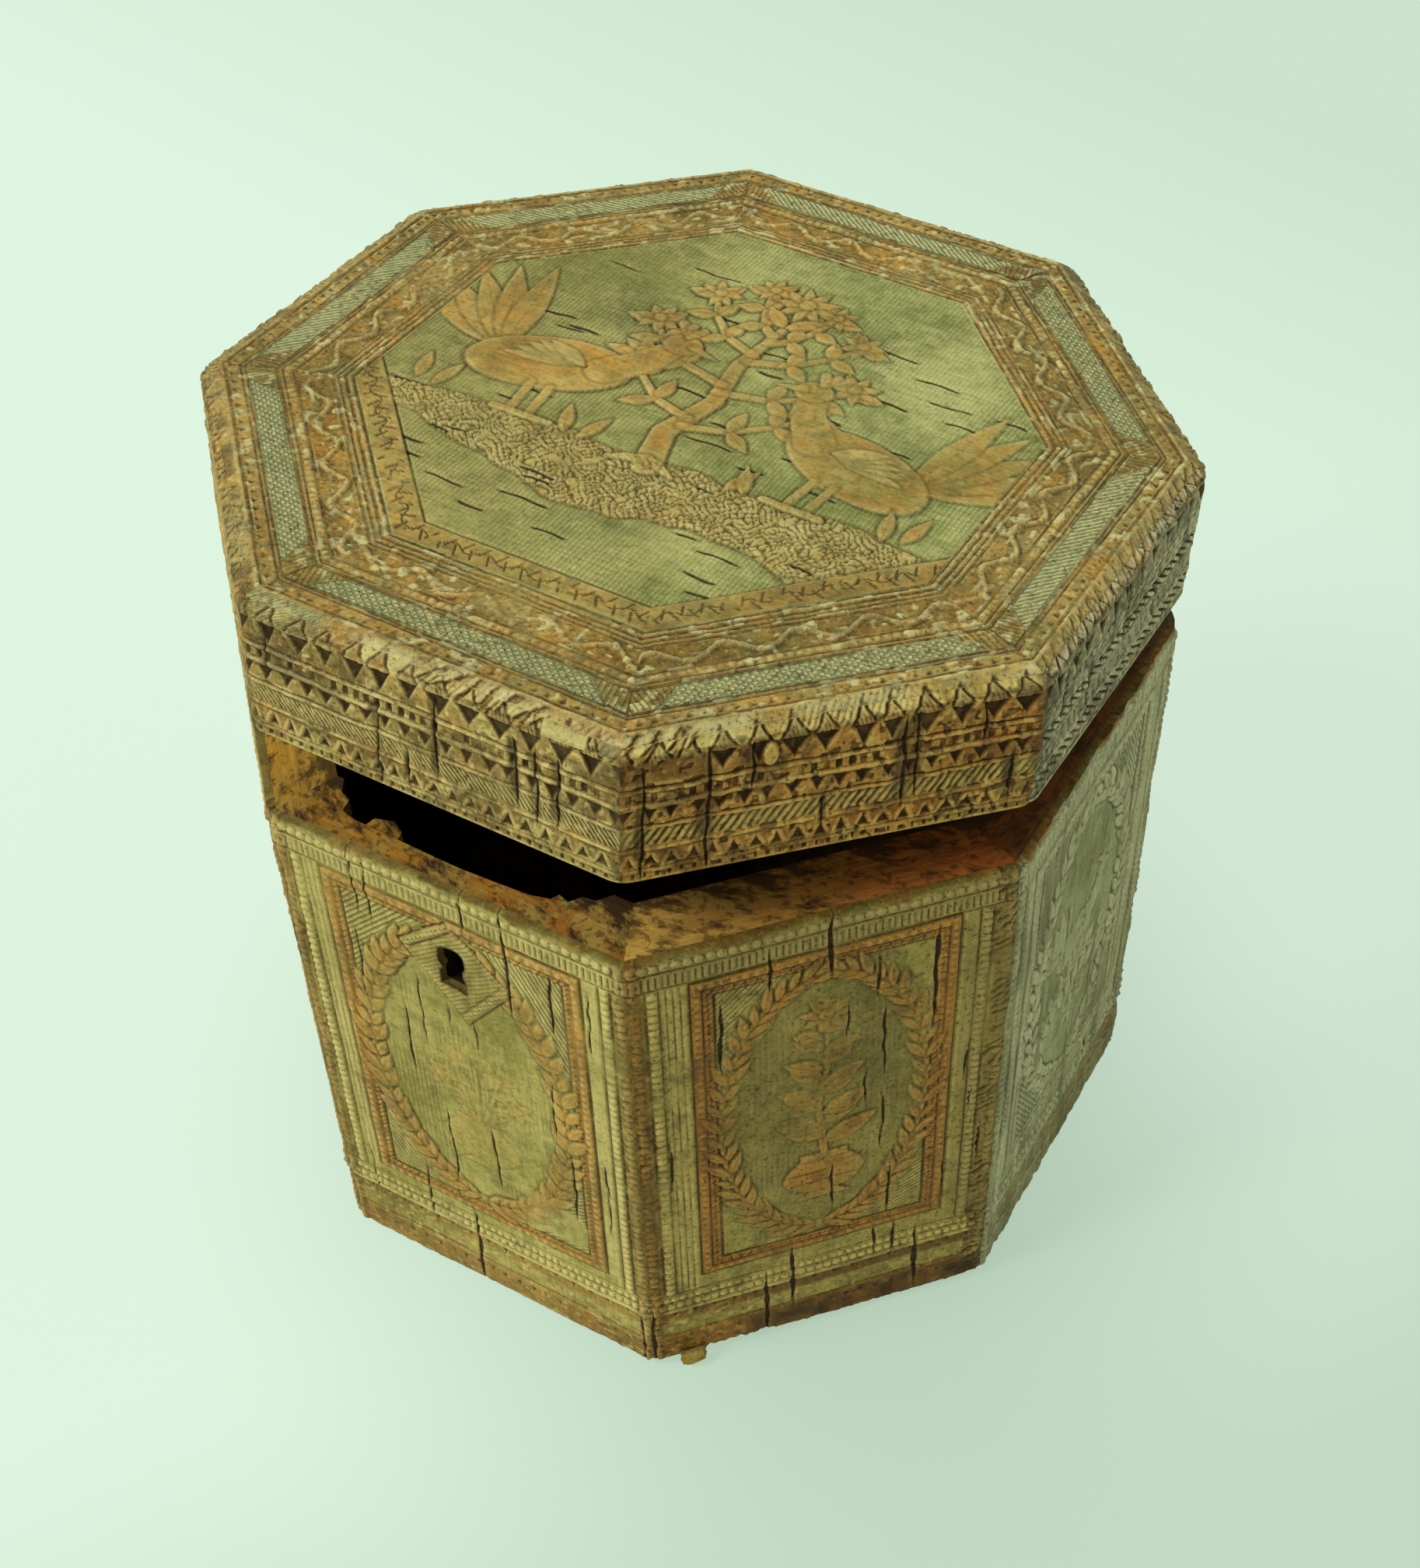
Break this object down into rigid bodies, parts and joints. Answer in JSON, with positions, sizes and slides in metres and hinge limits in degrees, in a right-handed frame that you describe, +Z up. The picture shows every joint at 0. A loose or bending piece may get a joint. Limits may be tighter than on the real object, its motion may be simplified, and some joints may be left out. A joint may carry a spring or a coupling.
{
  "type": "trinket box",
  "caption": "Octagonal wooden trinket box covered in carved birch bark, with a hinged lid standing ajar, a keyhole and an empty lock mortise broken open in the front wall.",
  "frame": {"origin": "centre of the underside of the body, on the surface that the box stands on", "axes": "+Z up; -Y out of the front face, the one with the keyhole; +X to the right of someone facing the front; lid hinged along X at the back"},
  "size_m": [0.16, 0.1647, 0.1684],
  "materials": {
    "bark_body": "birch bark, carved in low relief, stained green and brown, waxed dull",
    "bark_lid": "birch bark, chip-carved, brown, worn on the raised parts",
    "bark_lid_top": "birch bark, carved in low relief, green ground with brown relief",
    "board_wood": "old softwood, stained, bare and dull",
    "lid_wood": "old softwood, planed, bare and dull",
    "base_wood": "old softwood, planed, bare and dull",
    "iron": "wrought iron, dark and slightly rusted"
  },
  "bodies": {
    "box": {"base_board": "base_wood", "wall_front": "board_wood", "wall_front_right": "board_wood", "wall_right": "board_wood", "wall_back_right": "board_wood", "wall_back": "board_wood", "wall_back_left": "board_wood", "wall_left": "board_wood", "wall_front_left": "board_wood", "bark_front": "bark_body", "bark_front_right": "bark_body", "bark_right": "bark_body", "bark_back_right": "bark_body", "bark_back": "bark_body", "bark_back_left": "bark_body", "bark_left": "bark_body", "bark_front_left": "bark_body", "base_nails": "iron", "body_hinge_leaf_left": "iron", "body_hinge_leaf_right": "iron", "hinge_pin_left": "iron", "hinge_pin_right": "iron", "body_hinge_nails": "iron"},
    "lid": {"lid_board": "lid_wood", "lid_rim_front": "lid_wood", "lid_rim_front_right": "lid_wood", "lid_rim_right": "lid_wood", "lid_rim_back_right": "lid_wood", "lid_rim_back": "lid_wood", "lid_rim_back_left": "lid_wood", "lid_rim_left": "lid_wood", "lid_rim_front_left": "lid_wood", "lid_bark_front": "bark_lid", "lid_bark_front_right": "bark_lid", "lid_bark_right": "bark_lid", "lid_bark_back_right": "bark_lid", "lid_bark_back": "bark_lid", "lid_bark_back_left": "bark_lid", "lid_bark_left": "bark_lid", "lid_bark_front_left": "bark_lid", "lid_bark_top": "bark_lid_top", "lid_nails": "iron", "lid_hinge_leaf_left": "iron", "lid_hinge_leaf_right": "iron", "lid_hinge_nails": "iron"}
  },
  "joints": [
    {"name": "lid_hinge", "type": "hinge", "parent": "box", "child": "lid", "pos_m": [0, 0.0778, 0.1244], "axis": [-1, 0, 0], "range_deg": [-6.9, 94]}
  ]
}
